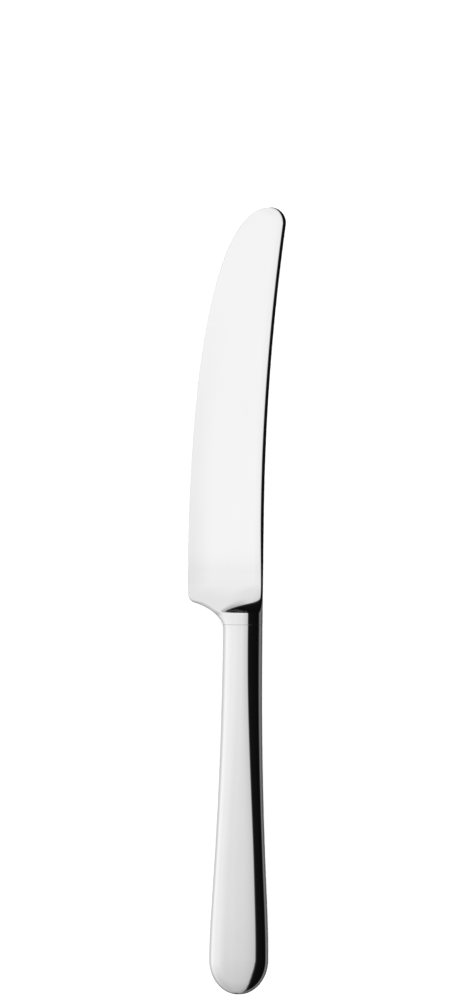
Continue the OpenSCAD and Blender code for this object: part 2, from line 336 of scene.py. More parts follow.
# %% Braze metal, rubbed back after the joint was closed
BRAZE_GRAIN = (3200.0, 3200.0, 3200.0)
BRAZE_DARK, BRAZE_BRIGHT = (0.46, 0.455, 0.44), (0.54, 0.535, 0.52)
BRAZE_SMOOTH, BRAZE_ROUGHER = 0.16, 0.12
BRAZE_BUMP, BRAZE_DEPTH = 0.2, 0.004


def rubbed_braze(name):
    material, shader, start, place = new_material(name)
    grain = stretched_noise(start, place, BRAZE_GRAIN)
    join(tint(start, grain, BRAZE_DARK, BRAZE_BRIGHT), shader, "Base Color")
    join(BRAZE_SMOOTH + BRAZE_ROUGHER * grain, shader, "Roughness")
    shader.inputs["Metallic"].default_value = 1.0
    join(bump(start, grain, BRAZE_BUMP, BRAZE_DEPTH), shader, "Normal")
    return material


braze = rubbed_braze("braze")
print("braze:", braze.name)

# %% Cement, matt, with sand in it
SAND_SCALE = 1400.0
CLOUD_SCALE = (260.0, 260.0, 260.0)
CLOUD_DETAIL = 5.0
CLOUD_SHARE, SAND_SHARE = 0.65, 0.5
CEMENT_DARK, CEMENT_BRIGHT = (0.42, 0.39, 0.34), (0.66, 0.62, 0.55)
CEMENT_ROUGH, CEMENT_ROUGHER = 0.82, 0.15
CEMENT_BUMP, CEMENT_DEPTH = 0.6, 0.15


def cast_cement(name):
    material, shader, start, place = new_material(name)
    sand = start.node("ShaderNodeTexVoronoi", {"feature": "F1"},
                      {"Vector": place, "Scale": SAND_SCALE, "Randomness": 1.0}, "Distance")
    cloud = stretched_noise(start, place, CLOUD_SCALE, CLOUD_DETAIL)
    shade = (CLOUD_SHARE * cloud + SAND_SHARE * sand).at_most(1.0)
    join(tint(start, shade, CEMENT_DARK, CEMENT_BRIGHT), shader, "Base Color")
    join(CEMENT_ROUGH + CEMENT_ROUGHER * cloud, shader, "Roughness")
    join(bump(start, shade, CEMENT_BUMP, CEMENT_DEPTH), shader, "Normal")
    return material


cement = cast_cement("cement")
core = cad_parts["handle_filler"]
core.data.materials.clear()
core.data.materials.append(cement)
print("cement on:", core.name)

# %% [markdown]
# The half-shells of the handle
#
# A press forms each half of the handle from sheet. Its sections follow one rule all the way:
# a rounded shape between an ellipse and a box, whose width grows along a curve and closes
# in a quarter circle at the end. A shape that follows a rule suits Geometry Nodes. A flat
# grid supplies the points, and each point's row and column say where on the shell it goes:
# over the outside, back along the inside, and home. Points that meet are merged, so the
# shell is closed and has a true wall. One tree makes both halves, with `Side` +1 or -1.

# %% The rule of the shell as a node tree
SHELL_SIZES = {
    "Neck half": NECK_HALF, "Butt half": BUTT_HALF, "Neck rise": NECK_RISE, "Butt rise": BUTT_RISE,
    "Shaft": SHAFT, "Butt round": BUTT_ROUND, "Waist run": WAIST_RUN, "Flare run": FLARE_RUN,
    "Neck squareness": NECK_SQUARENESS, "Butt squareness": BUTT_SQUARENESS,
    "Square run": SQUARE_RUN, "Wall": WALL, "Seam half": SEAM_HALF,
    "Neck gap": NECK_GAP, "Notch reach": NOTCH_REACH,
}
# Set for each half when it is pressed
SHELL_CHOICES = ["Notch flare", "Side"]
SHELL_COUNTS = {"Rows": 170, "Arc steps": 72}
SHAFT_SHARE = 0.66
NECK_CROWDING = 1.5
SQUARE_DELAY = 1.25
MERGE_WITHIN = 0.0008


def shell_rule():
    tree = bpy.data.node_groups.new("pressed_half_shell", "GeometryNodeTree")
    sockets = tree.interface
    sockets.new_socket("Shell", in_out="OUTPUT", socket_type="NodeSocketGeometry")
    sockets.new_socket("Blank", in_out="INPUT", socket_type="NodeSocketGeometry")
    for name in [*SHELL_SIZES, *SHELL_CHOICES]:
        sockets.new_socket(name, in_out="INPUT", socket_type="NodeSocketFloat")
    for name in SHELL_COUNTS:
        sockets.new_socket(name, in_out="INPUT", socket_type="NodeSocketInt")
    sockets.new_socket("Place", in_out="INPUT", socket_type="NodeSocketVector")
    sockets.new_socket("Finish", in_out="INPUT", socket_type="NodeSocketMaterial")
    entry = tree.nodes.new("NodeGroupInput")
    size = {s.name: Wire(tree, s) for s in entry.outputs if s.name}
    start = Wire(tree)

    # Row and column of each point of the grid
    arc = size["Arc steps"]
    columns = 2.0 * arc + 3.0
    index = start.node("GeometryNodeInputIndex")
    row = ((index + 0.5) / columns).floor()
    column = index - row * columns
    outside = column < arc + 0.5
    inside = (column > arc + 0.5) * (column < 2.0 * arc + 1.5)
    turn = math.pi * (outside * column + inside * (2.0 * arc + 1.0 - column)) / arc
    rim = row < 0.5
    inset = size["Wall"] * (rim * 0.5 + (1.0 - rim) * inside)

    # How far along the shaft, and how far round the end, each row is
    along = (row - 1.0).at_least(0.0) / (size["Rows"] - 2.0)
    t = (along / SHAFT_SHARE).at_most(1.0) ** NECK_CROWDING
    end = (along - SHAFT_SHARE).at_least(0.0) * (math.pi / 2 / (1 - SHAFT_SHARE))
    rest = 1.0 - t
    early, late, final = 3.0 * t * rest * rest, 3.0 * t * t * rest, t * t * t
    grown = late + final
    depth = early * size["Waist run"] + late * (size["Shaft"] - size["Flare run"])
    depth = depth + final * size["Shaft"]
    depth = size["Neck gap"] + depth * (1.0 - size["Neck gap"] / size["Shaft"])

    # The section at that row
    half = size["Neck half"] + grown * (size["Butt half"] - size["Neck half"])
    rise = size["Neck rise"] + grown * (size["Butt rise"] - size["Neck rise"])
    squared = (depth / size["Square run"]).at_most(1.0) ** SQUARE_DELAY
    squared = squared * squared * (3.0 - 2.0 * squared)
    gain = size["Butt squareness"] - size["Neck squareness"]
    power = 2.0 / (size["Neck squareness"] + squared * gain)
    across, over = turn.cos(), turn.sin()
    to_edge = across < 0.0
    flare = (1.0 - depth / size["Notch reach"]).at_least(0.0)
    reach = half + to_edge * flare * flare * size["Notch flare"] - inset
    shrink = end.cos()
    x = reach * shrink * (1.0 - 2.0 * to_edge) * abs(across) ** power
    y = 0.0 - depth - (size["Butt round"] - inset) * end.sin()
    z = size["Seam half"] + (rise - inset - size["Seam half"]) * shrink * over.at_least(0.0) ** power
    spot = start.node("ShaderNodeCombineXYZ", None, {0: x, 1: y, 2: z * size["Side"]})
    spot = start.node("ShaderNodeVectorMath", {"operation": "ADD"}, {0: spot, 1: size["Place"]})
    spot = start.node("ShaderNodeVectorMath", {"operation": "SCALE"}, {0: spot, "Scale": MM})

    # Grid to closed shell
    skin = start.node("GeometryNodeMeshGrid", None, {"Vertices X": size["Rows"], "Vertices Y": columns})
    skin = start.node("GeometryNodeSetPosition", None, {"Geometry": skin, "Position": spot})
    skin = start.node("GeometryNodeMergeByDistance", None,
                      {"Geometry": skin, "Distance": MERGE_WITHIN * MM})
    skin = start.node("GeometryNodeFlipFaces", None, {"Mesh": skin, "Selection": size["Side"] > 0.0})
    skin = start.node("GeometryNodeSetShadeSmooth", None, {"Geometry": skin})
    skin = start.node("GeometryNodeRealizeInstances", None, {"Geometry": skin})
    skin = start.node("GeometryNodeSetMaterial", None, {"Geometry": skin, "Material": size["Finish"]})
    leave = tree.nodes.new("NodeGroupOutput")
    tree.links.new(skin.socket, leave.inputs["Shell"])
    return tree


shell_tree = shell_rule()
print("shell rule:", len(shell_tree.nodes), "nodes")

# %% [markdown]
# The outline of the blade
#
# Seen from the side, the blade is a chain of simple curves that run into each other: a
# straight back that sweeps away on a large radius, a small corner at the point, a round
# nose, a long belly, a straight edge, the heel and the notch that leads into the handle.
# The chain is sampled finely here, because the roundness of every edge and the notch's
# last trace on the handle are measured from it.

# %% Curves of the outline, in millimetres
def bezier(points, steps):
    t = np.linspace(0.0, 1.0, steps)[:, None]
    a, b, c, d = np.array(points)
    return a * (1 - t) ** 3 + b * 3 * t * (1 - t) ** 2 + c * 3 * t * t * (1 - t) + d * t ** 3


def arc(centre, radius, first, last, steps):
    a = np.radians(np.linspace(first, last, steps))
    return np.array(centre) + radius * np.stack([np.cos(a), np.sin(a)], axis=1)


nose_c = np.array([TIP_X, BLADE_LENGTH - NOSE_R])
nose_p = nose_c + NOSE_R * np.array([-math.sin(NOSE_ANGLE), math.cos(NOSE_ANGLE)])
heel_c = np.array([HEEL_R - EDGE_DROP, HEEL_HEIGHT + HEEL_R * math.cos(NOTCH_ANGLE)])
heel_p = heel_c - HEEL_R * np.array([math.sin(NOTCH_ANGLE), math.cos(NOTCH_ANGLE)])
sweep_c = np.array([NECK_HALF + SPINE_SWEEP_R, SPINE_STRAIGHT])
sweep_angle = math.degrees(math.asin((TIP_Y - SPINE_STRAIGHT) / (SPINE_SWEEP_R + TIP_CORNER_R)))

notch = bezier([
    (-NECK_HALF, -NOTCH_REACH),
    (-NECK_HALF, NOTCH_RISE - NOTCH_REACH),
    heel_p + NOTCH_RUN * np.array([math.cos(NOTCH_ANGLE), -math.sin(NOTCH_ANGLE)]),
    heel_p], steps=160)
heel = arc(heel_c, HEEL_R, 270 - math.degrees(NOTCH_ANGLE), 180, steps=60)
belly = bezier([
    (-EDGE_DROP, BELLY_START),
    (-EDGE_DROP, BELLY_START + BELLY_RUN),
    nose_p - BELLY_RISE * np.array([math.cos(NOSE_ANGLE), math.sin(NOSE_ANGLE)]),
    nose_p], steps=260)
nose = arc(nose_c, NOSE_R, 90 + math.degrees(NOSE_ANGLE), 90, steps=60)
sweep = arc(sweep_c, SPINE_SWEEP_R, 180, 180 - sweep_angle, steps=120)
corner = arc((TIP_X, TIP_Y), TIP_CORNER_R, -sweep_angle, 90, steps=90)

edge_side = np.concatenate([notch, heel[1:], belly, nose[1:]])
back_side = np.concatenate([[(NECK_HALF, -NOTCH_REACH)], sweep, corner[1:]])
outline = np.concatenate([back_side, edge_side[::-1][1:]])


def edge_x(y):
    return np.interp(y, edge_side[:, 1], edge_side[:, 0])


def back_x(y):
    return np.interp(y, back_side[:, 1], back_side[:, 0])


NOTCH_FLARE = -float(edge_x(0.0)) - NECK_HALF
print("outline:", len(outline), "points")
print("the notch still flares the neck by", round(NOTCH_FLARE, 3), "mm")

# %% [markdown]
# Pressing the two halves
#
# The rule is attached to an empty mesh as a modifier, its inputs are set through their
# socket identifiers, and the evaluated result is copied to a plain mesh. Edges that turn
# sharply, such as the rim along the seam, keep their own flat shading.

# %% Helpers that finish a piece
SHARP_TURN = math.radians(38.0)


def finish_piece(obj, node):
    obj.data.set_sharp_from_angle(angle=SHARP_TURN)
    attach(obj, "root")
    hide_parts(node)
    co = np.array([v.co for v in obj.data.vertices])
    low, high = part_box(node)
    off = max(np.abs(co.min(0) - low).max(), np.abs(co.max(0) - high).max()) / MM
    print(f"{obj.name}: {len(obj.data.polygons)} faces, box within {off:.3f} mm of its solid")


def signed_volume(mesh):
    mesh.calc_loop_triangles()
    co = np.array([v.co for v in mesh.vertices])
    tri = np.array([t.vertices[:] for t in mesh.loop_triangles])
    a, b, c = co[tri[:, 0]], co[tri[:, 1]], co[tri[:, 2]]
    return float(np.einsum("ij,ij->i", a, np.cross(b, c)).sum() / 6)


print("edges count as sharp from", round(math.degrees(SHARP_TURN)), "degrees")

# %% Press both halves
def press_shell(name, side):
    obj = bpy.data.objects.new(name, bpy.data.meshes.new(name))
    bpy.context.scene.collection.objects.link(obj)
    press = obj.modifiers.new("press", "NODES")
    press.node_group = shell_tree
    values = {**SHELL_SIZES, **SHELL_COUNTS, "Notch flare": NOTCH_FLARE, "Side": side}
    for item in shell_tree.interface.items_tree:
        if item.item_type == "SOCKET" and item.in_out == "INPUT":
            if item.name in values:
                press[item.identifier] = values[item.name]
            elif item.name == "Place":
                press[item.identifier] = [float(v) for v in SHIFT]
            elif item.name == "Finish":
                press[item.identifier] = handle_steel
    seen = obj.evaluated_get(bpy.context.evaluated_depsgraph_get())
    pressed = bpy.data.meshes.new_from_object(seen)
    obj.modifiers.clear()
    obj.data = pressed
    pressed.name = name
    print(f"{name}: {signed_volume(pressed) / MM ** 3:.1f} cubic mm of steel")
    return obj


front = press_shell("shell_front_polished", 1.0)
finish_piece(front, "handle_shell_front")
back = press_shell("shell_back_polished", -1.0)
finish_piece(back, "handle_shell_back")

# %% [markdown]
# The forging: blade, bolster and tang
#
# A smith draws the blade out of the same bar that becomes the bolster, so the surface never
# stops: the collar has the handle's own section, a hollow falls from its crisp shoulder, and
# the blade swells up to meet it. A height field says that best. For each point inside the
# outline, the half thickness goes over from the collar's to that of the wedge-shaped blade.
# It does so quickly on the edge side and slowly toward the back, so the hollow lies at a
# slant. Every rim is rolled over by its distance from the outline: the back widely, the
# notch less, and the cutting edge by a hair. Sections across the blade are then skinned into
# one closed mesh, with more of them where the surface turns quickly.

# %% Half thickness of plate and collar, and the hollow between them
WEDGE_ACROSS = (SPINE_THICKNESS - EDGE_THICKNESS) / 2 / (EDGE_DROP + NECK_HALF)
WEDGE_ALONG = DISTAL_TAPER / 2 / BLADE_LENGTH


def smooth(t):
    t = np.clip(t, 0.0, 1.0)
    return t * t * (3 - 2 * t)


def plate(x, y):
    flank = SPINE_THICKNESS / 2 + WEDGE_ACROSS * (x - NECK_HALF) - WEDGE_ALONG * y
    return flank + np.maximum(0.0, SWELL_START - y) ** 2 / 2 / SWELL_R


def collar(x, y):
    """The neck's own section, which only stretches at its far edge to reach the notch."""
    wide = np.where(x > 0, NECK_HALF, -edge_x(y)) / NECK_HALF
    far = np.minimum(1.0, np.abs(x) / NECK_HALF / wide)
    place = far * wide / (1 + far ** COLLAR_HOLD * (wide ** COLLAR_HOLD - 1)) ** (1 / COLLAR_HOLD)
    inside = 1 - np.minimum(1.0, place) ** NECK_SQUARENESS
    return NECK_RISE * np.maximum(0.0, inside) ** (1 / NECK_SQUARENESS)


def hollow(x, y):
    """Share of the collar that is left above the shoulder, which is broken by a hair.

    The shoulder runs out softly before it reaches the notch.
    """
    past = y - BOLSTER_LENGTH
    soft = SHOULDER_SOFT + NOTCH_SOFT * smooth((-x - NECK_HALF) / NOTCH_SOFT_RUN)
    run = np.where(past < soft / 2, np.clip(past + soft / 2, 0.0, soft) ** 2 / 2 / soft, past)
    eased = x / np.sqrt(1 + (np.maximum(0.0, x) / HOLLOW_EASE) ** 2)
    length = np.maximum(HOLLOW_LEAST, HOLLOW_RUN + HOLLOW_SLANT * eased)
    return np.maximum(0.0, 1 - run / length) ** HOLLOW_FALL


left_over = hollow(np.zeros(1), np.array([BOLSTER_LENGTH + 2]))[0]
print(f"2 mm above the shoulder, {left_over:.0%} of the collar is left")

# %% Rolled rims, and the whole forging
# The back's roll is never wider than this many half thicknesses
BACK_MOST = 1.7


def distance_to(line, x, y, batch=2000):
    """Distance of each point from a line of many short stretches, a batch of points at a time."""
    a, v = line[:-1], np.diff(line, axis=0)
    nearest = np.empty(len(x))
    for first in range(0, len(x), batch):
        some = slice(first, first + batch)
        p = np.stack([x[some], y[some]], axis=1)[:, None, :]
        t = np.clip(((p - a) * v).sum(2) / (v * v).sum(1), 0.0, 1.0)
        nearest[some] = np.linalg.norm(p - a - v * t[..., None], axis=2).min(1)
    return nearest


def rolled(height, radius, away):
    """Height of a face whose corner is rolled over with that radius, at a distance from the rim."""
    inside = np.maximum(0.0, radius - away)
    return height - radius + np.sqrt(np.maximum(0.0, radius ** 2 - inside ** 2))


def rounded(height, run, away):
    """Height of a face that falls all the way down to its rim, over that run."""
    return height * np.sqrt(np.maximum(0.0, 1 - np.maximum(0.0, 1 - away / run) ** 2))


def back_radius(y):
    """The back's corners are rolled less beside the bolster and at the point."""
    grown = BACK_START + (1 - BACK_START) * smooth(y / SPINE_STRAIGHT)
    return BACK_ROUND * grown * (1 - BACK_FADE * np.clip((y - TIP_Y) / TIP_CORNER_R, 0.0, 1.0) ** 2)


def edge_run(h, y):
    """The rounding is wide along the notch and narrow along the cutting edge."""
    wide = np.minimum(h, HEEL_ROUND)
    return wide + (EDGE_ROUND - wide) * smooth((y - heel_p[1]) / (heel_c[1] - heel_p[1]))


def forging(x, y):
    h = plate(x, y)
    r = np.minimum(BACK_MOST * h, back_radius(y))
    at_edge = rounded(h, edge_run(h, y), distance_to(edge_side, x, y))
    at_back = rolled(h, r, distance_to(back_side, x, y) + r * (1 - math.sin(BACK_SLOPE)))
    side = np.minimum(at_edge, at_back)
    return side + (collar(x, y) - side) * hollow(x, y)


looked_at = np.array([BOLSTER_LENGTH, BOLSTER_LENGTH + 2, BLADE_LENGTH / 2])
print("half thickness at the shoulder, 2 mm above it and at mid blade:",
      np.round(forging(np.zeros(3), looked_at), 2), "mm")

# %% Sections from the collar to the point
ZONE_STEPS = 32
# Width of the rounded zones, in half thicknesses and at most as a share of the blade's width
BACK_ZONE, EDGE_ZONE = 1.5, 1.3
ZONE_MOST = 0.3
# Their share of the width where the points are evenly spread
ZONE_EVEN = 0.4
# Above the shoulder, the points go over from evenly spread to crowded in this run
EVEN_RUN = 5.0
# How steeply the outline may lean before its zone grows no more, and the step to measure it
LEAN_MOST, LEAN_STEP = 6.0, 0.05
# Share of the flat's points that stays evenly spaced
FLAT_EVEN = 0.6
# From here on the sections crowd toward the point
NOSE_START = 96.0


def spread(y):
    """Places across the blade at height y, closer together over its rounded edges."""
    left, right = float(edge_x(y)), float(back_x(y))
    wide = right - left
    even = float(smooth((BOLSTER_LENGTH + EVEN_RUN - y) / EVEN_RUN))
    above = min(y + LEAN_STEP, BLADE_LENGTH)
    lean = min(LEAN_MOST, abs(float(edge_x(above) - edge_x(y - LEAN_STEP))) / (2 * LEAN_STEP))

    def zone(reach):
        return min(reach, ZONE_MOST * wide) * (1 - even) + ZONE_EVEN * wide * even

    from_right = right - zone(BACK_ZONE * float(plate(right, y)))
    from_left = left + zone(EDGE_ZONE * float(plate(left, y)) * math.hypot(1, lean))
    u = np.arange(1, ZONE_STEPS + 1) / ZONE_STEPS
    roll = 1 - np.cos(math.pi / 2 * u)
    flat = from_right + (from_left - from_right) * (FLAT_EVEN * u + (1 - FLAT_EVEN) * smooth(u))
    at_back = right + (from_right - right) * roll
    at_edge = left + (from_left - left) * roll
    return np.concatenate([at_back, flat[:-1], at_edge[::-1]])


def between(first, last, steps, crowding=1.0):
    """Heights after the first up to the last, crowded toward the last where crowding is above 1."""
    return last + (first - last) * (1 - np.arange(1, steps + 1) / steps) ** crowding


SHOULDER_LOW, SHOULDER_HIGH = BOLSTER_LENGTH - SHOULDER_SOFT / 2, BOLSTER_LENGTH + SHOULDER_SOFT / 2
HEIGHTS = np.concatenate([
    [0.0],
    between(0.0, SHOULDER_LOW, 10),
    between(SHOULDER_LOW, SHOULDER_HIGH, 10),
    between(SHOULDER_HIGH, heel_p[1], 46),
    between(heel_p[1], heel_c[1], 36),
    between(heel_c[1], BELLY_START, 40),
    between(BELLY_START, NOSE_START, 100, crowding=1.15),
    between(NOSE_START, BLADE_LENGTH, 80, crowding=2.0)[:-1]])


def blade_sections():
    across = np.stack([spread(y) for y in HEIGHTS])
    along = np.repeat(HEIGHTS[:, None], across.shape[1], axis=1)
    rise = forging(across.ravel(), along.ravel()).reshape(across.shape)
    back_end = np.stack([back_x(HEIGHTS), HEIGHTS, 0 * HEIGHTS], axis=1)[:, None, :]
    edge_end = np.stack([edge_x(HEIGHTS), HEIGHTS, 0 * HEIGHTS], axis=1)[:, None, :]
    top = np.stack([across, along, rise], axis=2)
    under = np.stack([across, along, -rise], axis=2)[:, ::-1]
    return np.concatenate([back_end, top, edge_end, under], axis=1)


sections = blade_sections()
print("forging:", sections.shape[0], "sections of", sections.shape[1], "points")

# %% Notched tang, and one skin over everything
TANG_STOPS = [(1.0, 0), (0.98, 0), (0.8, 0), (0.79, 1), (0.72, 1), (0.71, 0),
              (0.5, 0), (0.49, 1), (0.42, 1), (0.41, 0), (0.0, 0)]
TANG_SQUARENESS = 6.0


def signed_power(value, power):
    return np.sign(value) * np.abs(value) ** power


def tang_sections(count):
    a = np.linspace(0.0, 2 * math.pi, count, endpoint=False)
    rings = []
    for stop, cut in TANG_STOPS:
        size = 1 + (TANG_TAPER - 1) * stop
        x = (TANG_WIDTH * size / 2 - TANG_NOTCH * cut) * signed_power(np.cos(a), 2 / TANG_SQUARENESS)
        z = TANG_THICKNESS * size / 2 * signed_power(np.sin(a), 2 / TANG_SQUARENESS)
        rings.append(np.stack([x, np.full(count, -stop * TANG_LENGTH), z], axis=1))
    return np.array(rings)


def skinned(name, rings, material, first=None, last=None):
    """A closed mesh over a row of rings, with a point at each end or joined into a loop."""
    n, m = rings.shape[:2]
    loop = first is None
    points = rings.reshape(-1, 3) if loop else np.concatenate([rings.reshape(-1, 3), [first, last]])
    faces = []
    for i in range(n if loop else n - 1):
        a, b = i * m, (i + 1) % n * m
        faces += [(a + (j + 1) % m, a + j, b + j, b + (j + 1) % m) for j in range(m)]
    if not loop:
        faces += [(n * m, j, (j + 1) % m) for j in range(m)]
        faces += [(n * m + 1, (n - 1) * m + (j + 1) % m, (n - 1) * m + j) for j in range(m)]
    mesh = bpy.data.meshes.new(name)
    mesh.from_pydata(((points + SHIFT) * MM).tolist(), [], faces)
    if signed_volume(mesh) < 0:
        mesh.flip_normals()
    mesh.shade_smooth()
    mesh.materials.append(material)
    obj = bpy.data.objects.new(name, mesh)
    bpy.context.scene.collection.objects.link(obj)
    print(f"{name}: {signed_volume(mesh) / MM ** 3:.1f} cubic mm")
    return obj


rings = np.concatenate([tang_sections(sections.shape[1]), sections])
tang_end, point = (0, -TANG_LENGTH, 0), (nose_c[0], BLADE_LENGTH, 0)
blade = skinned("blade_polished", rings, blade_steel, tang_end, point)
finish_piece(blade, "blade")

# %% [markdown]
# Traces and painted shade on the blade
#
# The grinder thins the blade toward its cutting edge. That strip, most of all at the heel, and the
# swelling by the bolster take a darker tint: partly a duller polish, partly painted shade. Use then
# scratches the flats, but hardly the rounded back or the bolster. Noise can't know where those places
# are, so a number is worked out for each point of the mesh and stored on it, for the steel's shader to
# read.

# %% Where the blade's tint is darker, partly as painted shade, and where it is scratched
# The ground strip: its width, how much darker its tint is, partly as painted shade, where it ends and
# how slowly it fades
GROUND_RUN = 7.0
GROUND_DULL_AND_SHADE = 0.6
GROUND_END, GROUND_FADE = 87.0, 70.0
HEEL_CLEAR, HEEL_FADE = 4.5, 8.0
# The swelling by the bolster: how much darker its tint is, partly as painted shade, and between which
# heights
SWELL_DULL_AND_SHADE = 0.3
SWELL_FROM, SWELL_FADE_IN = 7.0, 5.0
SWELL_UP_TO, SWELL_FADE_OUT = 20.0, 8.0
# Where scratches begin above the bolster, and how soon they are in full
SCRATCH_FROM, SCRATCH_FADE = 8.0, 5.0


def dullness_and_painted_shade(x, y):
    """Share by which the tint darkens along the ground edge, most at the heel, and by the bolster:
    partly a duller polish, partly painted shade.
    """
    ground_dull_and_shade = 1 - smooth(distance_to(edge_side, x, y) / GROUND_RUN)
    ground_dull_and_shade = ground_dull_and_shade * np.clip((GROUND_END - y) / GROUND_FADE, 0.0, 1.0)
    swelling_dull_and_shade = smooth((SWELL_UP_TO - y) / SWELL_FADE_OUT) * smooth((y - SWELL_FROM) / SWELL_FADE_IN)
    return GROUND_DULL_AND_SHADE * ground_dull_and_shade * smooth((y - HEEL_CLEAR) / HEEL_FADE) + SWELL_DULL_AND_SHADE * swelling_dull_and_shade


def scratched(x, y):
    """The flats carry fine scratches from use, but not the rolled back or the bolster."""
    on_flat = smooth(distance_to(back_side, x, y) - BACK_ROUND)
    return on_flat * smooth((y - SCRATCH_FROM) / SCRATCH_FADE)


spots = np.array([v.co for v in blade.data.vertices]) / MM - SHIFT
for name, share in (("dull", dullness_and_painted_shade), ("scratched", scratched)):
    values = share(spots[:, 0], spots[:, 1]).astype(np.float32)
    blade.data.attributes.new(name, "FLOAT", "POINT").data.foreach_set("value", values)
    print(f"{name}: up to {values.max():.2f}, {values.mean():.2f} on average")

# %% [markdown]
# The two runs of braze
#
# Braze fills the hair between the half-shells, all round the handle, and the ring between
# handle and bolster. Each run is a thin closed band that follows the section of its
# neighbours and stops just short of the polished surface, so it reads as a fine line.

# %% Outline of the handle at its seam, and its section at the neck
SIDE_STEPS, CAP_STEPS = 160, 90


def handle_sides(inset):
    """The handle's outline in the seam's plane, from the neck's back side round to its edge side."""
    t = np.linspace(0.0, 1.0, SIDE_STEPS) ** NECK_CROWDING
    early, late, final = 3 * t * (1 - t) ** 2, 3 * t * t * (1 - t), t ** 3
    grown = late + final
    depth = early * WAIST_RUN + late * (SHAFT - FLARE_RUN) + final * SHAFT
    depth = NECK_GAP + depth * (1 - NECK_GAP / SHAFT)
    half = NECK_HALF + grown * (BUTT_HALF - NECK_HALF)
    flare = NOTCH_FLARE * np.maximum(0.0, 1 - depth / NOTCH_REACH) ** 2
    end = np.linspace(0.0, math.pi / 2, CAP_STEPS)[1:]
    cap_x = (BUTT_HALF - inset) * np.cos(end)
    cap_y = -SHAFT - (BUTT_ROUND - inset) * np.sin(end)
    x = np.concatenate([half - inset, cap_x, -cap_x[-2::-1], -(half + flare - inset)[::-1]])
    y = np.concatenate([-depth, cap_y, cap_y[-2::-1], -depth[::-1]])
    return np.stack([x, y], axis=1)


def neck_section(inset, y, count=192):
    a = np.linspace(0.0, 2 * math.pi, count, endpoint=False)
    flare = NOTCH_FLARE * (1 - NECK_GAP / NOTCH_REACH) ** 2
    reach = np.where(np.cos(a) < 0, NECK_HALF + flare, NECK_HALF) - inset
    x = reach * signed_power(np.cos(a), 2 / NECK_SQUARENESS)
    z = (NECK_RISE - inset) * signed_power(np.sin(a), 2 / NECK_SQUARENESS)
    return np.stack([x, np.full(count, y), z], axis=1)


outer, inner = handle_sides(BRAZE_RECESS), handle_sides(WALL)
print("seam:", len(outer), "points along its outline")

# %% Both bands
bands = [(outer, SEAM_HALF), (inner, SEAM_HALF), (inner, -SEAM_HALF), (outer, -SEAM_HALF)]
loops = np.stack([np.column_stack([line, np.full(len(line), z)]) for line, z in bands], axis=1)
seam = skinned("seam_braze_band", loops, braze, loops[0].mean(0), loops[-1].mean(0))
finish_piece(seam, "seam_braze")

neck_rings = np.array([
    neck_section(BRAZE_RECESS, -NECK_GAP), neck_section(BRAZE_RECESS, 0.0),
    neck_section(WALL, 0.0), neck_section(WALL, -NECK_GAP)])
neck = skinned("neck_braze_band", neck_rings, braze)
finish_piece(neck, "neck_braze")

# %% [markdown]
# The studio
#
# The knife lies on a plain pale floor in even light, and most of the light on the steel is
# a picture of the room. The room is a tent of white cloth around the knife: brightest along
# the left, a little darker overhead toward the handle's end, and open on the right, where
# it is dark. That opening is the dark stripe along the handle. Below the horizon the steel
# mirrors the lit floor, which is darker in the knife's own shadow and behind the handle's
# end. A large sphere stands for the tent and for that floor, and its light depends only on
# the direction from the middle. It is only seen in reflections: the even light of the world
# lights the floor, and the camera looks through.

# %% A pale floor
FLOOR_HALF = 8.0
FLOOR_GRAIN = (40.0, 40.0, 40.0)
FLOOR_DARK, FLOOR_BRIGHT = (0.90, 0.90, 0.90), (0.92, 0.92, 0.92)


def pale_floor():
    material, shader, start, place = new_material("pale_floor")
    grain = stretched_noise(start, place, FLOOR_GRAIN)
    join(tint(start, grain, FLOOR_DARK, FLOOR_BRIGHT), shader, "Base Color")
    shader.inputs["Roughness"].default_value = 0.95
    shader.inputs["Specular IOR Level"].default_value = 0.0
    mesh = bpy.data.meshes.new("floor")
    w = FLOOR_HALF
    mesh.from_pydata([(-w, -w, 0), (w, -w, 0), (w, w, 0), (-w, w, 0)], [], [(0, 1, 2, 3)])
    mesh.materials.append(material)
    obj = bpy.data.objects.new("floor", mesh)
    bpy.context.scene.collection.objects.link(obj)
    obj.visible_glossy = False
    return obj


floor = pale_floor()
print("floor:", floor.name)

# %% Brightness of the tent that the steel mirrors
# No brightness in the lists below is above this
TENT_TOP = 2.0
# How far to the right the cloth's border lies overhead
TENT_LEAN = 0.58
# Over these degrees toward the left, the second list along the knife takes over from the first
LEFT_START, LEFT_RUN = 15.0, 30.0

# Brightness by the angle from overhead toward the right, in degrees
TENT_ROUND = [
    (-180, 1.0), (-90, 1.35), (-50, 1.2), (-15, 1.35), (-4, 1.35), (10, 1.18), (25, 1.0), (180, 0.8)]
# Brightness along the knife overhead, from behind the handle (-1) to beyond the point (+1)
TENT_ALONG = [
    (-1.0, 0.55), (-0.7, 0.68), (-0.15, 0.74), (-0.1, 0.82), (-0.03, 0.87), (-0.01, 1.0),
    (0.1, 1.0), (0.2, 0.9), (0.5, 0.84), (1.0, 0.7)]
# The same along the left side
TENT_BESIDE = [
    (-1.0, 0.55), (-0.5, 0.87), (-0.25, 1.0), (0.0, 1.05), (0.2, 0.9), (0.5, 0.6), (1.0, 0.5)]
# How far the cloth's border lies to the right along the knife, with 1 added
TENT_BORDER = [
    (-1.0, 1.2), (-0.9, 1.05), (-0.7, 0.94), (-0.5, 0.91), (-0.2, 0.96), (-0.12, 1.0), (0.0, 1.0),
    (0.3, 0.93), (0.5, 0.84), (0.7, 0.73), (0.85, 0.6), (1.0, 0.58)]
# Where the cloth ends: 1 under it, 0 in the dark beyond its border
TENT_EDGE = [
    (-1.2, 1.0), (-0.16, 1.0), (-0.13, 0.75), (-0.1, 0.25), (-0.07, 0.06), (-0.02, 0.02),
    (0.05, 0.01), (1.2, 0.005)]
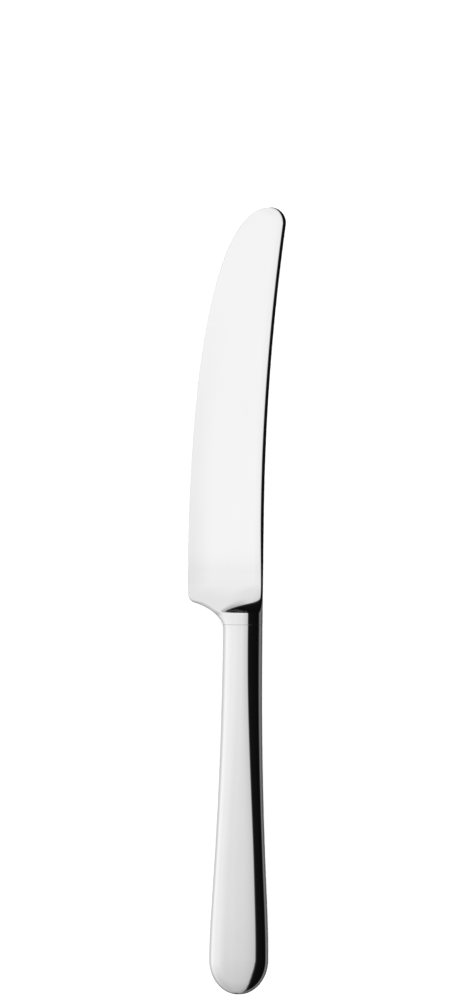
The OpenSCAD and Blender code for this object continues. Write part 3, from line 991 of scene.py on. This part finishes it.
# The floor beside the knife, and where the knife's own shadow begins on it
FLOOR_LIGHT = 0.80
FLOOR_BORDER = 0.12
# The floor takes over below the horizon, at this rate and after this start
FLOOR_RATE, FLOOR_DELAY = 1.6, 0.25
# Behind the handle's end it loses this share of its light, from this start and over this run
BEHIND_LOSS, BEHIND_START, BEHIND_RUN = 0.75, 0.25, 0.5
# What the floor sends up past that shadow, by the same angle as the first list
FLOOR_ROUND = [
    (-180, 0.0), (92, 0.0), (100, 0.2), (115, 0.28), (130, 0.12), (180, 0.2)]


def ramp(wire, stops):
    """The value between the stops, whose places run from lowest to highest."""
    low, high = stops[0][0], stops[-1][0]
    shares = [((place - low) / (high - low), value / TENT_TOP) for place, value in stops]
    spot = (wire - low) / (high - low)
    return TENT_TOP * wire.node("ShaderNodeValToRGB", {"stops": shares}, {"Fac": spot})


def tent_light(x, y, z):
    """Brightness of the room in a direction, with its parts as wires."""
    round_angle = x.math("ARCTAN2", x, z) * (180 / math.pi)
    leftward = ((-1.0 * round_angle - LEFT_START) / LEFT_RUN).clipped()
    above, beside = ramp(y, TENT_ALONG), ramp(y, TENT_BESIDE)
    border = TENT_LEAN * z.at_least(0.0) + ramp(y, TENT_BORDER) - 1.0
    cloth = ramp(round_angle, TENT_ROUND) * (above + leftward * (beside - above))
    cloth = cloth * ramp(x - border, TENT_EDGE)
    behind = ((-1.0 * y - BEHIND_START) / BEHIND_RUN).clipped()
    lit_floor = FLOOR_LIGHT * (1.0 - BEHIND_LOSS * behind) * ramp(x - FLOOR_BORDER, TENT_EDGE)
    below = (-1.0 * FLOOR_RATE * z - FLOOR_DELAY).clipped()
    return cloth + below * (lit_floor - cloth) + ramp(round_angle, FLOOR_ROUND)


print("the cloth's border has", len(TENT_BORDER), "stops along the knife")

# %% The tent as a large sphere
TENT_RADIUS = 5.0


def studio_tent():
    material = bpy.data.materials.new("tent_cloth")
    material.use_nodes = True
    tree = material.node_tree
    tree.nodes.clear()
    start = Wire(tree)
    spot = start.node("ShaderNodeTexCoord", output="Object")
    ray = start.node("ShaderNodeVectorMath", {"operation": "NORMALIZE"}, {0: spot})
    split = start.node("ShaderNodeSeparateXYZ", None, {0: ray})
    x, y, z = (Wire(tree, s) for s in split.socket.node.outputs)
    glow = start.node("ShaderNodeEmission", None, {"Color": tent_light(x, y, z), "Strength": 1.0})
    out = tree.nodes.new("ShaderNodeOutputMaterial")
    tree.links.new(glow.socket, out.inputs["Surface"])
    material.cycles.emission_sampling = "NONE"
    bpy.ops.mesh.primitive_uv_sphere_add(segments=96, ring_count=48, radius=TENT_RADIUS)
    obj = bpy.context.object
    obj.name = obj.data.name = "tent"
    obj.data.shade_smooth()
    obj.data.materials.append(material)
    obj.visible_camera = False
    obj.visible_diffuse = False
    obj.visible_shadow = False
    obj.visible_transmission = False
    return obj


tent = studio_tent()
print("tent:", tent.name, "with a radius of", TENT_RADIUS, "m")

# %% Even light, and a plain display of it
EVEN_LIGHT = 2.0

world = bpy.data.worlds.new("studio")
world.use_nodes = True
sky = world.node_tree.nodes["Background"]
sky.inputs["Color"].default_value = (1.0, 1.0, 1.0, 1.0)
sky.inputs["Strength"].default_value = EVEN_LIGHT
bpy.context.scene.world = world
bpy.context.scene.view_settings.view_transform = "Standard"
print("even light:", EVEN_LIGHT)

# %% [markdown]
# The camera
#
# The knife is seen from straight above, lying almost upright in the frame. A long lens from
# about a metre away keeps its proportions true, as for a catalogue picture.

# %% A camera straight above
LENS = 135.0
FILM = 36.0
# How many metres the frame is high, and the place that is in its middle
FRAME_HEIGHT = 0.26647
CENTRE = (-0.000456, 0.02683)
ROLL = math.radians(0.715)

lens = bpy.data.cameras.new("camera")
lens.lens = LENS
lens.sensor_width = FILM
lens.clip_start, lens.clip_end = 0.01, 100.0
camera = bpy.data.objects.new("camera", lens)
camera.location = (*CENTRE, BUTT_RISE * MM + FRAME_HEIGHT * LENS / FILM)
camera.rotation_euler = (0.0, 0.0, ROLL)
bpy.context.scene.collection.objects.link(camera)
bpy.context.scene.camera = camera
print("camera height", round(camera.location.z, 3), "m")
